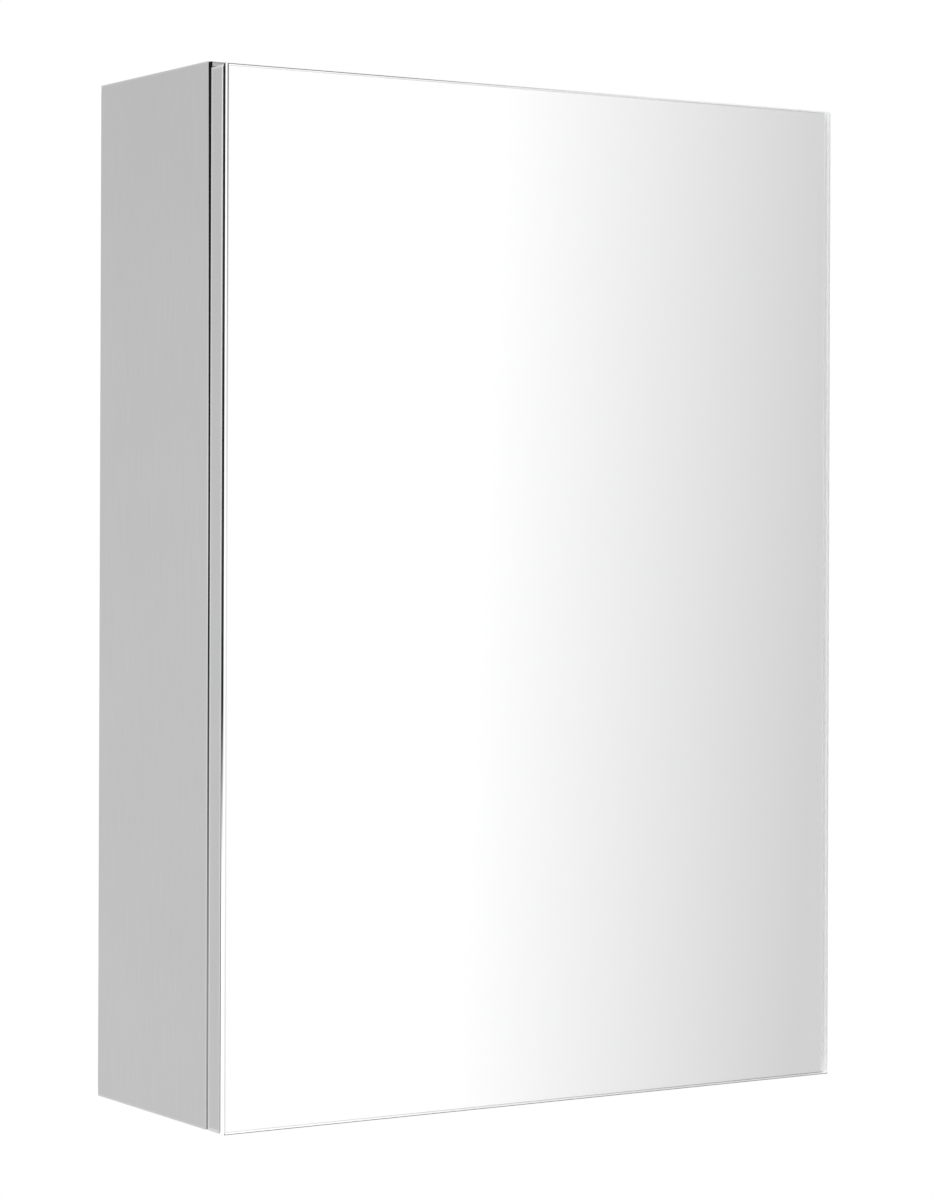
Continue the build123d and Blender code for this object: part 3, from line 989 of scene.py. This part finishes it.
# %% [markdown]
# ## Blind rivets
#
# The door's inner panel is held by four blind rivets. A rivet gun pulls a steel stem through the
# soft aluminium body until it snaps, and leaves a domed head with the broken stem down a small
# hole: that hole is what makes it a rivet and not a button. On the hidden side the tail is
# swelled out against the sheet.

# %% Rivets
rivet_low, rivet_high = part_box("back_panel_rivets")
lip_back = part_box("door_pan")[1].y
rivet_outline = [
    (0, 0.38), (0.55, 0.34), (0.72, 0.22), (0.80, 0.30), (0.86, 0.78), (1.02, 0.88),
    (1.35, 0.88), (1.90, 0.76), (2.35, 0.52), (2.65, 0.22), (2.75, 0.05), (2.72, 0.0),
    (1.60, 0.0), (1.60, -1.1), (2.10, -1.5), (2.30, -2.0), (2.20, -2.5), (1.70, -2.68),
    (0, -2.7),
]
head_reach = 2.75 * MM
rivet_plan = [
    ([(x, lip_back, z)], (0, 1, 0))
    for x in (rivet_low.x + head_reach, rivet_high.x - head_reach)
    for z in (rivet_low.z + head_reach, rivet_high.z - head_reach)
]
rivets = place_parts(
    "blind_rivets", turned_mesh("rivet", rivet_outline, 40), rivet_plan, rivet_grey, "door",
    seed=3,
)
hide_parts("back_panel_rivets")

# %% [markdown]
# ## Catches and bumpers
#
# Two magnetic catches are pressed into the free side's front return. Each is a moulded plug with
# a thin rounded collar, and a magnet down the middle. Both are round, so the lathe makes them, and
# the magnet's rim is eased as a ground and plated one is.

# %% Catches
plug_low, plug_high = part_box("magnet_housings")
collar_reach = 5.0 * MM
return_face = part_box("left_side_panel")[0].y
catch_x = (plug_low.x + plug_high.x) / 2
catch_heights = (plug_low.z + collar_reach, plug_high.z - collar_reach)
catch_plan = [([(catch_x, return_face, z)], (0, -1, 0)) for z in catch_heights]
plug_outline = [
    (0, -5.3), (2.6, -5.3), (2.6, 0.82), (2.72, 0.9), (4.2, 0.9), (4.5, 0.86), (4.75, 0.72),
    (4.92, 0.45), (5.0, 0.15), (5.0, 0.0), (4.2, 0.0), (4.15, -8.0), (3.6, -9.0), (0, -9.0),
]
plugs = place_parts(
    "catch_plugs", turned_mesh("plug", plug_outline, 48), catch_plan, catch_plastic, "cabinet",
)
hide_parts("magnet_housings")
magnet_outline = [
    (0, 0.7), (2.25, 0.7), (2.42, 0.64), (2.5, 0.5), (2.5, -5.1), (2.3, -5.3), (0, -5.3),
]
magnets = place_parts(
    "catch_cores", turned_mesh("core", magnet_outline, 40), catch_plan, nickel, "cabinet",
)
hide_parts("catch_magnets")

# %% [markdown]
# Above and below the catches sit two soft buttons that stop the door from ringing. A real one is
# a dome of rubber dropped on a sticky back, so its crown is round and its rim is thin.

# %% Bumpers
button_low, button_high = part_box("door_bumpers")
button_reach = 4.0 * MM
button_heights = (button_low.z + button_reach, button_high.z - button_reach)
dome_outline = [
    (0, 1.4), (1.0, 1.37), (1.9, 1.27), (2.7, 1.08), (3.35, 0.78), (3.8, 0.40), (4.0, 0.0),
    (0, 0.0),
]
button_plan = [([(catch_x, return_face, z)], (0, -1, 0)) for z in button_heights]
domes = place_parts(
    "rubber_domes", turned_mesh("dome", dome_outline, 40), button_plan, milky_rubber, "cabinet",
)
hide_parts("door_bumpers")

# %% [markdown]
# ## Spot welds
#
# The body has no screws: its panels are pinched between two copper electrodes and a burst of
# current melts them together. Each weld leaves a shallow dish about 5 mm wide with a slightly
# raised rim, and a breath of blue and straw colour where the steel got hot. They run in rows down
# every flange, and a cabinet without them looks drawn and not made.
#
# Painting rings on the sheets in their shaders is one way, but a raised rim catches the light.
# The rows are lines of the plan, one for each flange, so the tree spaces the marks.

# %% Weld finish
weld_tint, tree, place = blank_finish("weld_tint")
radius = add_node(tree, "ShaderNodeAttribute", attribute_name="from_axis").outputs["Fac"]
speck = cells(tree, place, 1800.0, 3.0)
ragged = calculate(tree, "ADD", radius, spread(tree, speck, -0.08, 0.08))
in_straw = remap(tree, ragged, 0.62, 0.80, 0.0, 1.0, True)
in_blue = remap(tree, ragged, 0.80, 0.98, 0.0, 1.0, True)
straw = mix_colours(tree, in_straw, (0.56, 0.55, 0.55, 1), (0.55, 0.52, 0.46, 1))
heat = mix_colours(tree, in_blue, straw, (0.57, 0.58, 0.60, 1))
show(tree, add_node(
    tree, "ShaderNodeBsdfPrincipled",
    {
        "Base Color": heat,
        "Metallic": 1.0,
        "Roughness": remap(tree, ragged, 0.3, 0.9, 0.55, 0.40),
    },
))
print("weld tint has", len(tree.nodes), "nodes")

# %% [markdown]
# The rows follow what is joined: both tabs of each shelf and of the top and bottom panels, the
# back panel's two long edges, the shelves' upstands and the wall rails. Each row stops short of
# its flange's ends, where the electrodes wouldn't fit.

# %% Weld rows on the body
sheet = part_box("back_panel")[1].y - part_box("back_panel")[0].y
weld_spacing = 48 * MM
tab_ends = 20 * MM
shelf_tab_drop = 18 * MM
flange_middle = 7.5 * MM
column_ends = 30 * MM
upstand_ends = 35 * MM
upstand_drop = 5 * MM
rail_ends = 15 * MM
rail_edge = 6 * MM
weld_outline = [
    (0, 0.02), (1.5, 0.02), (1.9, 0.08), (2.2, 0.08), (2.6, 0.0), (2.6, -0.04), (0, -0.04),
]
weld_mark = turned_mesh("weld_mark", weld_outline, 14, crease=80)
faces_front = (0, -1, 0)
faces_rear = (0, 1, 0)


def level_row(low_x, high_x, depth, height, ends):
    """A row of marks from side to side, facing the front, that stops short of both ends."""
    return ([(low_x + ends, depth, height), (high_x - ends, depth, height)], faces_front)


body_rows = []
shelves = ("upper_shelf", "lower_shelf")
for deck in shelves + ("top_panel", "bottom_panel"):
    low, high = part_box(deck)
    tab_level = high.z - shelf_tab_drop if deck in shelves else high.z - flange_middle
    if deck == "bottom_panel":
        tab_level = low.z + flange_middle
    for side, face in ((1, low.x + sheet), (-1, high.x - sheet)):
        ends = [(face, low.y + tab_ends, tab_level), (face, high.y - tab_ends, tab_level)]
        body_rows.append((ends, (side, 0, 0)))
for side in (-1, 1):
    column = side * (cad_low.x + flange_middle)
    heights = (cad_low.z + column_ends, cad_high.z - column_ends)
    body_rows.append(([(column, -2 * sheet, height) for height in heights], faces_front))
for shelf_name in shelves:
    low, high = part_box(shelf_name)
    level = high.z - upstand_drop
    body_rows.append(level_row(low.x, high.x, high.y - sheet, level, upstand_ends))
for rail_name in ("upper_wall_rail", "lower_wall_rail"):
    low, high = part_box(rail_name)
    for level in (low.z + rail_edge, high.z - rail_edge):
        body_rows.append(level_row(low.x, high.x, low.y, level, rail_ends))
place_parts(
    "body_weld_marks", weld_mark, body_rows, weld_tint, "cabinet", weld_spacing,
    seed=11,
)

# %% [markdown]
# The hinge is welded too, with one row through each leaf. The leaves are on different bodies, so
# they are two pieces: one stays with the cabinet and the other swings with the door.

# %% Weld rows along the hinge
leaf_low, leaf_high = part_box("hinge_fixed_leaf")
leaf_sheet = 0.6 * MM
leaf_ends = 15 * MM
leaf_spacing = 42 * MM
row_inset = 4.5 * MM
leaf_line = leaf_low.x + row_inset
leaf_heights = (leaf_low.z + leaf_ends, leaf_high.z - leaf_ends)
for name, body, face, facing, seed in (
    ("fixed_leaf_welds", "cabinet", return_face - leaf_sheet, faces_front, 12),
    ("moving_leaf_welds", "door", lip_back + leaf_sheet, faces_rear, 13),
):
    leaf_row = [([(leaf_line, face, height) for height in leaf_heights], facing)]
    place_parts(name, weld_mark, leaf_row, weld_tint, body, leaf_spacing, seed=seed)
